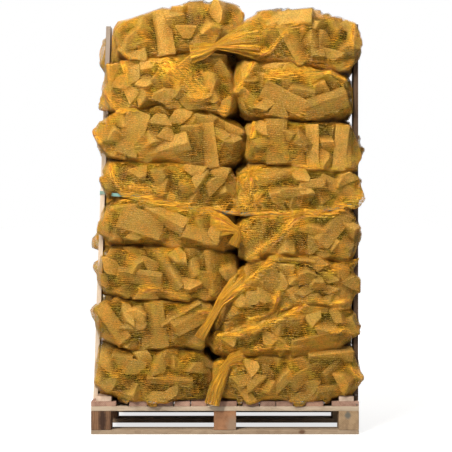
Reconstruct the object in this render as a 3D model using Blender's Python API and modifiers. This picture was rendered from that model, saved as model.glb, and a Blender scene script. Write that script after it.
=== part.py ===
"""Pallet loaded with net sacks of split firewood.

Metres, +Z up. The origin is the middle of the pallet's underside, and the front faces -Y.
The sacks lie in two columns, eight layers high and three rows deep, between four upright boards.
"""
import random

import bmesh
import bpy
from mathutils import Matrix, Vector

# Pallet, from the floor up
PALLET_WIDTH = 1.200
PALLET_DEPTH = 0.800
TOUCH_GAP = 0.0003
RUNNER_THICKNESS = 0.020
BLOCK_HEIGHT = 0.085
STRINGER_THICKNESS = 0.021
DECK_THICKNESS = 0.022
BOARD_EDGE_BEVEL = 0.0015
CROSS_ROW_DEPTH = 0.098
RUNNER_DEPTH = 0.095
BLOCK_SPANS = {"left": (-0.600, -0.511), "middle": (-0.050, 0.050), "right": (0.510, 0.600)}
CROSS_ROWS = {"front": -0.351, "centre": 0.0, "back": 0.351}

# Deck boards run front to back; each pair is a board's left and right edge
DECK_BOARD_EDGES = (
    (-0.600, -0.488), (-0.430, -0.349), (-0.300, -0.233), (-0.227, -0.156),
    (-0.152, -0.083), (-0.028, 0.053), (0.079, 0.152), (0.157, 0.226),
    (0.229, 0.304), (0.361, 0.441), (0.479, 0.600),
)

# Side rails lie on the deck, and the posts stand on it just outside them
RAIL_THICKNESS = 0.022
RAIL_EDGES = {"left": (-0.577, -0.509), "right": (0.511, 0.577)}
POST_THICKNESS = 0.020
POST_WIDTH = 0.095
POST_TOP = 1.843
# Name, middle of the foot, middle of the top (across), and the front edge (front to back)
POSTS = (
    ("post_front_left", -0.590, -0.531, -0.300),
    ("post_front_right", 0.5905, 0.5905, -0.360),
    ("post_back_left", -0.590, -0.580, 0.265),
    ("post_back_right", 0.5905, 0.588, 0.265),
)
POST_CLEARANCE = 0.0015
POST_ROOM_REACH = 0.720

# Levels worked out from the above
BLOCK_BASE = RUNNER_THICKNESS + TOUCH_GAP
STRINGER_BASE = BLOCK_BASE + BLOCK_HEIGHT - TOUCH_GAP
DECK_BASE = STRINGER_BASE + STRINGER_THICKNESS
DECK_TOP = DECK_BASE + DECK_THICKNESS
RAIL_TOP = DECK_TOP + RAIL_THICKNESS

# Front sacks: height of each bed joint at five places across each column, first joint to top
LAYERS = 8
BED_PLACES = {
    "left": (-0.54, -0.40, -0.27, -0.13, 0.00),
    "right": (0.54, 0.40, 0.27, 0.13, 0.00),
}
BED_HEIGHTS = {
    "left": (
        (0.41, 0.37, 0.38, 0.38, 0.35),
        (0.61, 0.61, 0.605, 0.60, 0.60),
        (0.85, 0.845, 0.86, 0.82, 0.82),
        (1.065, 1.07, 1.045, 1.005, 1.01),
        (1.24, 1.23, 1.22, 1.20, 1.19),
        (1.45, 1.46, 1.48, 1.44, 1.42),
        (1.71, 1.67, 1.70, 1.72, 1.72),
        (1.835, 1.845, 1.89, 1.92, 1.93),
    ),
    "right": (
        (0.395, 0.37, 0.35, 0.34, 0.34),
        (0.585, 0.585, 0.575, 0.51, 0.45),
        (0.75, 0.805, 0.825, 0.77, 0.77),
        (1.03, 0.99, 0.98, 0.985, 0.975),
        (1.17, 1.18, 1.215, 1.22, 1.19),
        (1.41, 1.41, 1.405, 1.405, 1.405),
        (1.61, 1.64, 1.66, 1.68, 1.685),
        (1.84, 1.88, 1.90, 1.87, 1.855),
    ),
}
# How far each front sack reaches out sideways, first layer to last
SACK_REACH = {
    "left": (-0.582, -0.587, -0.573, -0.557, -0.540, -0.596, -0.545, -0.510),
    "right": (0.612, 0.597, 0.596, 0.605, 0.620, 0.620, 0.575, 0.612),
}
# Line where the two columns meet: height and place across
MEETING_LINE = (
    (0.15, -0.05), (0.38, -0.06), (0.46, -0.10), (0.62, 0.03), (0.77, 0.08),
    (0.92, 0.04), (1.03, 0.03), (1.20, 0.06), (1.33, 0.12), (1.43, 0.07),
    (1.50, 0.02), (1.66, 0.06), (1.72, 0.02), (1.88, 0.09),
)
MEETING_CLEARANCE = 0.004
JOINT_GAP = 0.001
SACK_FRONT = -0.436
SACK_MIDDLE = -0.290
ROW_JOINT = -0.134
RAIL_REST_END = 0.45
DECK_REST_START = 0.34
END_SWELL = 0.030
TOP_SWELL = 0.014
PINCH_SIDE = 0.024
PINCH_FRONT = 0.026
PINCH_EDGE = 0.003
PINCH_END = 0.004
# The strap draws the sacks in where it lies between two layers
STRAP_JOINT = 4
STRAP_PINCH_SIDE = 0.036
STRAP_PINCH_FRONT = 0.040
STRAP_PINCH_EDGE = 0.007
DECK_PINCH_FRONT = 0.012
CORNER_TUCK = 0.020
FRONT_LUMP = 0.014
SACK_SEGMENTS = (6, 2, 2)
# How crisp the edges of a front sack stay, and those of its inner end: 0 is fully rounded
SACK_EDGE_CREASE = 0.30
INNER_END_CREASE = 0.06

# Rear layers: the middle and back rows, four sacks to a layer in one solid
REAR_BACK = 0.430
REAR_TOP = 1.840
REAR_REACH = 0.612
REAR_WAVE = 0.010
REAR_JOINT_GAP = 0.003
REAR_LUMP = 0.010
REAR_CREASE = 0.090
REAR_TOP_CREASE = 0.070
# Where the cage is cut, from side to side and from the row joint to the back
REAR_ACROSS = (-1.0, -0.52, -0.10, 0.0, 0.10, 0.52, 1.0)
REAR_DEEP = (0.0, 0.40, 0.50, 0.60, 1.0)
REAR_SEGMENTS = (6, 4, 2)

# Strap round the posts and the load, in the joint between the fourth and fifth layers
STRAP_HEIGHT = 0.015
STRAP_THICKNESS = 0.0012
STRAP_CLEARANCE = 0.0018
STRAP_LEVELS = {"front_left": 1.085, "front_right": 1.030, "back": 0.996}
# Across, front to back, height: where the strap lies in the joint, first in front and then behind
STRAP_FRONT = (
    (-0.500, -0.396, 1.074), (-0.400, -0.404, 1.070), (-0.270, -0.404, 1.045),
    (-0.130, -0.404, 1.005), (0.000, -0.404, 0.993), (0.130, -0.404, 0.985),
    (0.270, -0.404, 0.980), (0.400, -0.404, 0.990), (0.520, -0.396, 1.020),
)
STRAP_BACK = (
    (0.500, 0.400, 0.994), (0.050, 0.400, 0.994), (-0.050, 0.400, 0.994), (-0.500, 0.400, 0.994),
)

random.seed(48)


def clear_scene():
    for obj in list(bpy.data.objects):
        bpy.data.objects.remove(obj, do_unlink=True)


def new_collection(name):
    collection = bpy.data.collections.new(name)
    bpy.context.scene.collection.children.link(collection)
    return collection


def make_material(name, colour, roughness):
    material = bpy.data.materials.new(name)
    material.use_nodes = True
    shader = material.node_tree.nodes["Principled BSDF"]
    shader.inputs["Base Color"].default_value = (*colour, 1.0)
    shader.inputs["Roughness"].default_value = roughness
    shader.inputs["Metallic"].default_value = 0.0
    material.diffuse_color = (*colour, 1.0)
    return material


def make_object(name, mesh_builder, collection, material=None):
    """A bmesh builder's result becomes a named object in a collection."""
    mesh = bpy.data.meshes.new(name)
    cage = bmesh.new()
    mesh_builder(cage)
    cage.to_mesh(mesh)
    cage.free()
    obj = bpy.data.objects.new(name, mesh)
    collection.objects.link(obj)
    if material:
        mesh.materials.append(material)
    return obj


def make_board(name, low, high, collection, material):
    """A sawn board or block between two corners, with its edges just broken."""
    low, high = Vector(low), Vector(high)
    size = high - low

    def build(cage):
        bmesh.ops.create_cube(cage, size=1.0, matrix=Matrix.Diagonal((*size, 1.0)))

    board = make_object(name, build, collection, material)
    board.location = (low + high) / 2
    bevel = board.modifiers.new("broken_edges", "BEVEL")
    bevel.width = BOARD_EDGE_BEVEL
    bevel.segments = 1
    return board


def interpolate(place, places, values):
    """Straight-line reading between points, flat beyond the ends."""
    pairs = sorted(zip(places, values))
    if place <= pairs[0][0]:
        return pairs[0][1]
    for (start, first), (end, last) in zip(pairs, pairs[1:]):
        if place <= end:
            return first + (last - first) * (place - start) / (end - start)
    return pairs[-1][1]


def mix(first, last, share):
    return first + (last - first) * share


def build_pallet(collection, woods):
    half_depth = PALLET_DEPTH / 2
    for row, middle in CROSS_ROWS.items():
        back_half = CROSS_ROW_DEPTH / 2
        make_board(
            f"runner_{row}",
            (-PALLET_WIDTH / 2, middle - RUNNER_DEPTH / 2, 0.0),
            (PALLET_WIDTH / 2, middle + RUNNER_DEPTH / 2, RUNNER_THICKNESS),
            collection, woods["beige"],
        )
        for place, (left, right) in BLOCK_SPANS.items():
            make_board(
                f"block_{row}_{place}",
                (left, middle - back_half, BLOCK_BASE),
                (right, middle + back_half, STRINGER_BASE - TOUCH_GAP),
                collection, woods[f"block_{place}"],
            )
        make_board(
            f"stringer_{row}",
            (-PALLET_WIDTH / 2, middle - back_half, STRINGER_BASE),
            (PALLET_WIDTH / 2, middle + back_half, DECK_BASE - TOUCH_GAP),
            collection, woods["beige"],
        )
    for number, (left, right) in enumerate(DECK_BOARD_EDGES, start=1):
        make_board(
            f"deck_board_{number:02d}",
            (left, -half_depth, DECK_BASE), (right, half_depth, DECK_TOP),
            collection, woods["deck"],
        )
    for side, (left, right) in RAIL_EDGES.items():
        make_board(
            f"rail_{side}",
            (left, -half_depth, DECK_TOP + TOUCH_GAP), (right, half_depth, RAIL_TOP),
            collection, woods["rail"],
        )


def lean_top(cage, shift, middle_height):
    """Shears a standing box sideways, so that its foot and top stay level."""
    for vertex in cage.verts:
        if vertex.co.z > middle_height:
            vertex.co.x += shift


def build_post(name, foot, top, front, collection, material):
    base = DECK_TOP + TOUCH_GAP

    def build(cage):
        size = (POST_THICKNESS, POST_WIDTH, POST_TOP - base)
        middle = Vector((foot, front + POST_WIDTH / 2, (base + POST_TOP) / 2))
        bmesh.ops.create_cube(
            cage, size=1.0,
            matrix=Matrix.Translation(middle) @ Matrix.Diagonal((*size, 1.0)),
        )
        lean_top(cage, top - foot, middle.z)

    return make_object(name, build, collection, material)


def build_post_room(name, foot, top, front, collection):
    """Cutter: the room a post needs, open outwards, so that sacks bulge on either side of it."""
    base = DECK_TOP - POST_CLEARANCE
    height = POST_TOP + POST_CLEARANCE
    outward = 1 if foot > 0 else -1
    inner_foot = foot - outward * (POST_THICKNESS / 2 + POST_CLEARANCE)
    inner_top = top - outward * (POST_THICKNESS / 2 + POST_CLEARANCE)
    outer = outward * POST_ROOM_REACH

    def build(cage):
        low = Vector((min(inner_foot, outer), front - POST_CLEARANCE, base))
        high = Vector((max(inner_foot, outer), front + POST_WIDTH + POST_CLEARANCE, height))
        bmesh.ops.create_cube(
            cage, size=1.0,
            matrix=Matrix.Translation((low + high) / 2) @ Matrix.Diagonal((*(high - low), 1.0)),
        )
        lean_top(cage, inner_top - inner_foot, (base + height) / 2)

    cutter = make_object(name, build, collection)
    cutter.hide_render = True
    cutter.display_type = "WIRE"
    return cutter


def crease_box_edges(cage, amount, far_amount):
    """Marks the twelve edges of a unit box, with another amount at its far end across."""
    creases = cage.edges.layers.float.new("crease_edge")
    for edge in cage.edges:
        first, last = (vertex.co for vertex in edge.verts)
        sides = [axis for axis in range(3) if first[axis] == last[axis] and first[axis] in (0, 1)]
        if len(sides) == 2:
            edge[creases] = far_amount if 0 in sides and first[0] == 1 else amount


def build_cage(cage, segments, place_point, crease=0.0, far_crease=0.0):
    """A box cut into segments; place_point puts each corner of the grid in the world."""
    across, deep, high = segments
    bmesh.ops.create_cube(cage, size=1.0, matrix=Matrix.Translation((0.5, 0.5, 0.5)))
    for axis, count in enumerate(segments):
        for step in range(1, count):
            cut = Vector((0.0, 0.0, 0.0))
            cut[axis] = step / count
            normal = Vector((0.0, 0.0, 0.0))
            normal[axis] = 1.0
            bmesh.ops.bisect_plane(
                cage, geom=cage.verts[:] + cage.edges[:] + cage.faces[:],
                plane_co=cut, plane_no=normal, dist=0.00001,
            )
    crease_box_edges(cage, crease, far_crease)
    for vertex in cage.verts:
        grid = (
            round(vertex.co.x * across), round(vertex.co.y * deep), round(vertex.co.z * high),
        )
        vertex.co = place_point(*grid)
    bmesh.ops.recalc_face_normals(cage, faces=cage.faces[:])


def soften(obj):
    subdivision = obj.modifiers.new("soft_form", "SUBSURF")
    subdivision.levels = 1
    subdivision.render_levels = 1


def cut_with(obj, cutter):
    cut = obj.modifiers.new(f"room_for_{cutter.name}", "BOOLEAN")
    cut.operation = "DIFFERENCE"
    cut.solver = "EXACT"
    cut.object = cutter


def bed_height(side, joint, place):
    """Height of a bed joint: joint 0 is the deck, or the rail near the side."""
    if joint == 0:
        return interpolate(
            abs(place), (DECK_REST_START, RAIL_REST_END),
            (DECK_TOP + JOINT_GAP / 2, RAIL_TOP + JOINT_GAP),
        )
    swell = TOP_SWELL if joint == LAYERS else 0.0
    return interpolate(place, BED_PLACES[side], BED_HEIGHTS[side][joint - 1]) + swell


def side_pinch(side, joint):
    """Where the ends of two sacks meet, one above the other, beside a bed joint."""
    reach = SACK_REACH[side]
    neighbours = (reach[max(joint - 1, 0)], reach[min(joint, LAYERS - 1)])
    outward = 1 if side == "right" else -1
    return outward * (min(abs(value) for value in neighbours) - PINCH_SIDE)


def front_sack_point(side, layer, lumps, across, back, up):
    """Place of one cage point; across 0 is the sack's outer end, back 0 its front face."""
    columns, _, rows = SACK_SEGMENTS
    outward = 1 if side == "right" else -1
    share, rise = across / columns, up / rows
    at_end = across in (0, columns)
    at_joint = up in (0, rows)
    on_deck = layer == 0 and up == 0
    at_strap = layer + rise == STRAP_JOINT
    if at_joint:
        outer = side_pinch(side, layer if up == 0 else layer + 1)
    else:
        outer = SACK_REACH[side][layer] + outward * END_SWELL
    if across == 0 and back == 0:
        outer -= outward * CORNER_TUCK / 2
    height = bed_height(side, layer, outer)
    for _ in range(4):
        meeting = interpolate(height, *zip(*MEETING_LINE)) + outward * MEETING_CLEARANCE
        place = mix(outer, meeting, share)
        height = mix(bed_height(side, layer, place), bed_height(side, layer + 1, place), rise)
    if at_joint:
        inward = 1 if up == 0 else -1
        height += inward * JOINT_GAP / 2
        edge = STRAP_PINCH_EDGE if at_strap else PINCH_EDGE
        height += inward * (edge if back == 0 and not on_deck else 0.0)
        height += inward * (PINCH_END if at_end else 0.0)
    depth = (SACK_FRONT, SACK_MIDDLE, ROW_JOINT - JOINT_GAP)[back]
    if back == 0:
        pinch = STRAP_PINCH_FRONT if at_strap else PINCH_FRONT
        pinch = DECK_PINCH_FRONT if on_deck else pinch
        depth += pinch if at_joint else lumps[across]
        depth += CORNER_TUCK if at_end else 0.0
    return Vector((place, depth, height))


def build_front_sack(side, layer, collection, material):
    lumps = [random.uniform(-FRONT_LUMP, FRONT_LUMP) for _ in range(SACK_SEGMENTS[0] + 1)]

    def build(cage):
        build_cage(
            cage, SACK_SEGMENTS,
            lambda across, back, up: front_sack_point(side, layer, lumps, across, back, up),
            SACK_EDGE_CREASE, INNER_END_CREASE,
        )

    sack = make_object(f"sack_front_{side}_{layer + 1}", build, collection, material)
    soften(sack)
    return sack


def rear_bed(joint, across, back, waves):
    """Height of a bed joint of the rear rows, a little uneven from sack to sack."""
    if joint == 0:
        return DECK_TOP
    level = mix(DECK_TOP, REAR_TOP, joint / LAYERS)
    return level + waves[joint][across][back]


def rear_layer_point(layer, waves, lumps, across, back, up):
    columns, depths, rows = REAR_SEGMENTS
    at_side = across in (0, columns)
    at_back = back == depths
    at_joint = up in (0, rows)
    between_columns = across * 2 == columns
    between_rows = back * 2 == depths
    at_strap = layer + up / rows == STRAP_JOINT
    edge = STRAP_PINCH_EDGE if at_strap else PINCH_EDGE
    pinch_side = STRAP_PINCH_SIDE if at_strap else PINCH_SIDE
    pinch_back = STRAP_PINCH_FRONT if at_strap else PINCH_FRONT
    reach = REAR_REACH - (pinch_side if at_joint else lumps[across][back])
    place = reach * REAR_ACROSS[across]
    if at_side and between_rows:
        place *= 1.0 - REAR_CREASE / REAR_REACH
    if at_side and at_back:
        place *= 1.0 - CORNER_TUCK / 2 / REAR_REACH
    depth = mix(ROW_JOINT, REAR_BACK, REAR_DEEP[back])
    if at_back:
        depth -= pinch_back if at_joint else lumps[across][back]
        depth -= REAR_CREASE if between_columns else 0.0
        depth -= CORNER_TUCK if at_side else 0.0
    low = rear_bed(layer, across, back, waves)
    if layer == 0 and at_side:
        low = RAIL_TOP + JOINT_GAP
    high = rear_bed(layer + 1, across, back, waves)
    height = mix(low, high, up / rows)
    if at_joint:
        inward = 1 if up == 0 else -1
        height += inward * REAR_JOINT_GAP / 2
        height += inward * (edge if at_side or at_back else 0.0)
    if layer == LAYERS - 1 and up == rows and (between_columns or between_rows):
        height -= REAR_TOP_CREASE
    return Vector((place, depth, height))


def post_corner(post, height, face, edge):
    """A point just clear of a post: face 1 is its outer side, edge -1 its front."""
    _, foot, top, front = post
    outward = 1 if foot > 0 else -1
    middle = mix(foot, top, (height - DECK_TOP) / (POST_TOP - DECK_TOP))
    across = middle + outward * face * (POST_THICKNESS / 2 + STRAP_CLEARANCE)
    centre = front + POST_WIDTH / 2
    return (across, centre + edge * (POST_WIDTH / 2 + STRAP_CLEARANCE), height)


def strap_route():
    front_left, front_right, back_left, back_right = POSTS
    level_left, level_right = STRAP_LEVELS["front_left"], STRAP_LEVELS["front_right"]
    level_back = STRAP_LEVELS["back"]
    return (
        post_corner(front_left, level_left, 1, -1),
        post_corner(front_left, level_left, -1, -1),
        *STRAP_FRONT,
        post_corner(front_right, level_right, -1, -1),
        post_corner(front_right, level_right, 1, -1),
        post_corner(back_right, level_back, 1, 1),
        post_corner(back_right, level_back, -1, 1),
        *STRAP_BACK,
        post_corner(back_left, level_back, -1, 1),
        post_corner(back_left, level_back, 1, 1),
        post_corner(back_left, level_back, 1, -1),
    )


def build_strap(collection, material):
    """A closed band: the route's points joined in a ring, drawn up to the strap's height."""
    route = strap_route()

    def build(cage):
        rings = [
            [cage.verts.new(Vector(point) + Vector((0, 0, level))) for point in route]
            for level in (-STRAP_HEIGHT / 2, STRAP_HEIGHT / 2)
        ]
        for index in range(len(route)):
            after = (index + 1) % len(route)
            cage.faces.new((rings[0][index], rings[0][after], rings[1][after], rings[1][index]))

    strap = make_object("strap", build, collection, material)
    wall = strap.modifiers.new("thickness", "SOLIDIFY")
    wall.thickness = STRAP_THICKNESS
    wall.offset = 0.0
    return strap


def random_grid(count, limit):
    columns, depths, _ = REAR_SEGMENTS
    return [
        [[random.uniform(-limit, limit) for _ in range(depths + 1)] for _ in range(columns + 1)]
        for _ in range(count)
    ]


def build_rear_layers(collection, material):
    waves = random_grid(LAYERS + 1, REAR_WAVE)
    lumps = random_grid(LAYERS, REAR_LUMP)
    layers = []
    for layer in range(LAYERS):

        def build(cage, layer=layer):
            build_cage(
                cage, REAR_SEGMENTS,
                lambda across, back, up: rear_layer_point(
                    layer, waves, lumps[layer], across, back, up),
            )

        solid = make_object(f"sacks_rear_{layer + 1}", build, collection, material)
        soften(solid)
        layers.append(solid)
    return layers


def main():
    clear_scene()
    parts = new_collection("pallet_of_firewood_sacks")
    cutters = new_collection("cutters")
    woods = {
        "deck": make_material("deck_wood", (0.46, 0.33, 0.27), 0.8),
        "beige": make_material("beige_wood", (0.62, 0.55, 0.42), 0.8),
        "block_left": make_material("dark_block_wood", (0.16, 0.09, 0.05), 0.85),
        "block_middle": make_material("orange_block_wood", (0.42, 0.22, 0.10), 0.85),
        "block_right": make_material("tan_block_wood", (0.50, 0.37, 0.24), 0.85),
        "rail": make_material("rail_wood", (0.70, 0.58, 0.48), 0.8),
        "post_pale": make_material("pale_post_wood", (0.78, 0.66, 0.50), 0.75),
        "post_dark": make_material("dark_post_wood", (0.20, 0.12, 0.07), 0.8),
    }
    net = make_material("orange_net", (0.72, 0.40, 0.08), 0.55)
    build_pallet(parts, woods)
    rooms = {}
    for name, foot, top, front in POSTS:
        wood = woods["post_dark" if name == "post_front_right" else "post_pale"]
        build_post(name, foot, top, front, parts, wood)
        rooms[name] = build_post_room(f"room_{name}", foot, top, front, cutters)
    for layer in range(LAYERS):
        for side in ("left", "right"):
            sack = build_front_sack(side, layer, parts, net)
            cut_with(sack, rooms[f"post_front_{side}"])
    for solid in build_rear_layers(parts, net):
        cut_with(solid, rooms["post_back_left"])
        cut_with(solid, rooms["post_back_right"])
    build_strap(parts, make_material("green_strap", (0.42, 0.56, 0.48), 0.4))


main()
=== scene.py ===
# %% [markdown]
# # Firewood in net sacks, on a pallet
#
# The real load is split logs in orange knitted net sacks. They lie two abreast, three deep and
# eight high on a sawn pallet, between four upright corner boards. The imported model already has
# every piece at its real size, so this script only dresses it: sawn timber for the pallet, and
# logs and nets in place of the plain sack solids.

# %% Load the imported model
import math
import random

import bpy
import numpy as np
from mathutils import Matrix, Vector
from mathutils.bvhtree import BVHTree


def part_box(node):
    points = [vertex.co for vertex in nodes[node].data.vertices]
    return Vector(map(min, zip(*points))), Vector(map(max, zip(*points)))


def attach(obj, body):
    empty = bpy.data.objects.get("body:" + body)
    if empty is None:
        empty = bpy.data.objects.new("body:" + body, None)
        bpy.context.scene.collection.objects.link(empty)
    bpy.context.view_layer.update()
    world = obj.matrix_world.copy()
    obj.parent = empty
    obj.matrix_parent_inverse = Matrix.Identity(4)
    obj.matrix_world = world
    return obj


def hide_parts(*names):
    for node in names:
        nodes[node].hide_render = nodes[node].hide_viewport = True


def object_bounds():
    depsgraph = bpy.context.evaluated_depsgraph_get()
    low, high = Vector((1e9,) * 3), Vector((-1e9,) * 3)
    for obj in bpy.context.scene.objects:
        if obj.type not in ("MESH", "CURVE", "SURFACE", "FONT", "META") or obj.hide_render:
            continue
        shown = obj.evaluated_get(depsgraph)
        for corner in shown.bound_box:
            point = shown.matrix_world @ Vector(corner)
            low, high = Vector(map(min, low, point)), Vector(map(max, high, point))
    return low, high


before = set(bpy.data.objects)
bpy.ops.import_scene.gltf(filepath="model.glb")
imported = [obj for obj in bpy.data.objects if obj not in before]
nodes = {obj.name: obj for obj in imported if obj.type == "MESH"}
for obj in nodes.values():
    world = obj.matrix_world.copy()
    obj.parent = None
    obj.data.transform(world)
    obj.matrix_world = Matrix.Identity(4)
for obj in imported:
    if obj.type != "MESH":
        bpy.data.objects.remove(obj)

cad_low, cad_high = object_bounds()
scene = bpy.context.scene
LAYERS = sum(name.startswith("sacks_rear_") for name in nodes)
print(f"{len(nodes)} pieces in the model, {LAYERS} layers of sacks")

# %% [markdown]
# ## Camera
#
# The photograph looks square at the long side of the pallet, from about waist height and some
# way off. A long lens far away and a short lens close by can give the same width, but only the
# right distance shows the right amount of the boards' tops and inner sides. So the distance is
# set first, and the lens follows from how many pixels wide the pallet is.

# %% Camera at the photograph's place
PHOTO_PIXELS = 452
PALLET_PIXELS = 268
PALLET_MIDDLE_PIXEL = 225
PALLET_FOOT_PIXEL = 434.5
CAMERA_DISTANCE = 5.9
SENSOR_WIDTH = 36.0
pallet_low, pallet_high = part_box("runner_front")
metres_per_pixel = (pallet_high.x - pallet_low.x) / PALLET_PIXELS
camera_height = (PALLET_FOOT_PIXEL - PHOTO_PIXELS / 2) * metres_per_pixel
camera_across = (PHOTO_PIXELS / 2 - PALLET_MIDDLE_PIXEL) * metres_per_pixel
bpy.ops.object.camera_add(
    location=(camera_across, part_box("deck_board_01")[0].y - CAMERA_DISTANCE, camera_height),
    rotation=(math.pi / 2, 0, 0),
)
camera = bpy.context.object
camera.name = "camera"
camera.data.sensor_width = SENSOR_WIDTH
camera.data.lens = CAMERA_DISTANCE * SENSOR_WIDTH / (metres_per_pixel * PHOTO_PIXELS)
scene.camera = camera
print(f"camera {camera_height:.2f} m high, lens {camera.data.lens:.0f} mm")

# %% [markdown]
# ## Small helpers
#
# Operators act on whatever is selected, so each step starts from an empty selection. A shader
# is a chain of nodes. One helper adds a node and fills its inputs, which may be plain values or
# links from other nodes, and the rest are short names for the nodes that are used most.

# %% Selection and materials
seed_numbers = random.Random(7)
numbers = np.random.default_rng(7)


def choose_only(*objects):
    bpy.ops.object.select_all(action="DESELECT")
    for obj in objects:
        obj.select_set(True)
    bpy.context.view_layer.objects.active = objects[0]


def cut(point, normal, keep_both=False):
    """Cuts the mesh by a plane in edit mode. It keeps the inner side and closes it, or keeps both."""
    one_side = not keep_both
    bpy.ops.mesh.select_all(action="SELECT")
    bpy.ops.mesh.bisect(plane_co=point, plane_no=normal, use_fill=one_side, clear_outer=one_side)


def new_material(name, roughness, specular=0.4):
    material = bpy.data.materials.new(name)
    material.use_nodes = True
    shader = material.node_tree.nodes["Principled BSDF"]
    shader.inputs["Roughness"].default_value = roughness
    shader.inputs["Specular IOR Level"].default_value = specular
    return material, material.node_tree, shader


def use_material(obj, material):
    obj.data.materials.clear()
    obj.data.materials.append(material)
    obj.data.polygons.foreach_set("material_index", [0] * len(obj.data.polygons))


# %% Nodes
def fill_inputs(tree, node, values):
    """Maps an input's name or number to a value or to another node's output."""
    for key, value in values.items():
        if isinstance(value, bpy.types.NodeSocket):
            tree.links.new(value, node.inputs[key])
        else:
            node.inputs[key].default_value = value


def add_node(tree, kind, inputs=(), **settings):
    node = tree.nodes.new(kind)
    for key, value in settings.items():
        setattr(node, key, value)
    fill_inputs(tree, node, dict(inputs))
    return node


def math_node(tree, operation, first, second=0.0):
    return add_node(tree, "ShaderNodeMath", {0: first, 1: second}, operation=operation).outputs[0]


def add(tree, first, second):
    return math_node(tree, "ADD", first, second)


def multiply(tree, first, second):
    return math_node(tree, "MULTIPLY", first, second)


def vector_math(tree, operation, first, second):
    inputs = {0: first, 1: second}
    return add_node(tree, "ShaderNodeVectorMath", inputs, operation=operation).outputs[0]


def mix_colours(tree, share, first, second, blend="MIX"):
    inputs = {0: share, 6: first, 7: second}
    return add_node(tree, "ShaderNodeMix", inputs, data_type="RGBA", blend_type=blend).outputs[2]


def spread(tree, value, low, high, new_low=0.0, new_high=1.0):
    """Stretches a range of values over another, smoothly and without going past it."""
    inputs = {"Value": value, 1: low, 2: high, 3: new_low, 4: new_high}
    node = add_node(tree, "ShaderNodeMapRange", inputs, interpolation_type="SMOOTHSTEP")
    return node.outputs[0]


def noise(tree, place, scale, detail, **more):
    """Cloudy values over a place, mostly between 0.3 and 0.7."""
    inputs = {"Vector": place, "Scale": scale, "Detail": detail, **more}
    return add_node(tree, "ShaderNodeTexNoise", inputs).outputs[0]


def attribute(tree, name, output="Fac"):
    return add_node(tree, "ShaderNodeAttribute", attribute_name=name).outputs[output]


def object_place(tree):
    return add_node(tree, "ShaderNodeTexCoord").outputs["Object"]


def bump(tree, height, strength, distance):
    inputs = {"Height": height, "Strength": strength, "Distance": distance}
    return add_node(tree, "ShaderNodeBump", inputs).outputs[0]


def new_group(name, inputs, outputs):
    """inputs maps a socket's name to its kind and value; outputs, to its kind."""
    group = bpy.data.node_groups.new(name, "ShaderNodeTree")
    for socket_name, (kind, value) in inputs.items():
        kind = f"NodeSocket{kind}"
        socket = group.interface.new_socket(socket_name, in_out="INPUT", socket_type=kind)
        if value is not None:
            socket.default_value = value
    for socket_name, kind in outputs.items():
        kind = f"NodeSocket{kind}"
        group.interface.new_socket(socket_name, in_out="OUTPUT", socket_type=kind)
    return group, group.nodes.new("NodeGroupInput").outputs


def finish_group(group, results):
    end = group.nodes.new("NodeGroupOutput")
    for name, value in results.items():
        group.links.new(value, end.inputs[name])
    print(group.name, "group:", len(group.nodes), "nodes")
    return group


# %% [markdown]
# ## Studio
#
# The load stood in hazy sun from the upper left, and shows on plain white. A wide sun gives
# soft-edged shadows that fall to one side, weak lamps open the upper layers, the right and the
# back, and a pale sky fills the rest. The floor is a plain sheet that looks nearly white but
# throws little light up. It isn't part of the object.

# %% Floor and sky
FLOOR_SIZE = 600.0
FLOOR_GREY = 0.42
FLOOR_GLOW = 0.74
SKY_FILL = 0.28
WHITE = (1, 1, 1, 1)


def camera_sees(tree):
    return add_node(tree, "ShaderNodeLightPath").outputs["Is Camera Ray"]


bpy.ops.mesh.primitive_plane_add(size=FLOOR_SIZE)
floor = bpy.context.object
floor.name = "floor"
floor_finish, floor_tree, floor_shader = new_material("pale_floor", 0.9, 0.5)
floor_shader.inputs["Base Color"].default_value = (FLOOR_GREY, FLOOR_GREY, FLOOR_GREY, 1)
floor_shader.inputs["Emission Color"].default_value = WHITE
floor_glow = multiply(floor_tree, camera_sees(floor_tree), FLOOR_GLOW)
floor_tree.links.new(floor_glow, floor_shader.inputs["Emission Strength"])
use_material(floor, floor_finish)

scene.world = bpy.data.worlds.new("sky")
scene.world.use_nodes = True
sky_tree = scene.world.node_tree
sky = sky_tree.nodes["Background"]
sky.inputs["Color"].default_value = WHITE
sky_range = {"Value": camera_sees(sky_tree), "To Min": SKY_FILL, "To Max": 1.0}
sky_strength = add_node(sky_tree, "ShaderNodeMapRange", sky_range)
sky_tree.links.new(sky_strength.outputs[0], sky.inputs["Strength"])
scene.view_settings.view_transform = "Standard"
print("floor", FLOOR_SIZE, "m wide, sky at", SKY_FILL)

# %% Sun and lamps
SUN_DIRECTION = (0.42, 0.72, -0.62)
SUN_POWER = 2.1
SUN_WIDTH = 0.10
load_middle = (0, 0, (cad_low.z + cad_high.z) / 2)
LAMPS = (
    # name, place, what it lights, size in metres, power in watts, colour
    ("high_front", (-0.9, -2.5, 3.8), (0, -0.4, 1.6), 1.3, 165, (1.0, 0.95, 0.86)),
    ("right_fill", (4.5, -3.5, 2.0), load_middle, 3.0, 20, (0.95, 0.97, 1.0)),
    ("back_light", (1.5, 5.0, 4.0), load_middle, 3.0, 150, (1.0, 0.97, 0.92)),
)


def add_light(kind, name, place, direction, power, colour):
    turn = Vector(direction).to_track_quat("-Z", "Y").to_euler()
    bpy.ops.object.light_add(type=kind, location=place, rotation=turn)
    light = bpy.context.object
    light.name = name
    light.data.energy = power
    light.data.color = colour
    return light


hazy_sun = add_light("SUN", "hazy_sun", (-3, -5, 6), SUN_DIRECTION, SUN_POWER, (1.0, 0.94, 0.84))
hazy_sun.data.angle = SUN_WIDTH
for name, place, target, size, power, colour in LAMPS:
    lamp = add_light("AREA", name, place, Vector(target) - Vector(place), power, colour)
    lamp.data.size = size
print("a sun and", len(LAMPS), "lamps")

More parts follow.
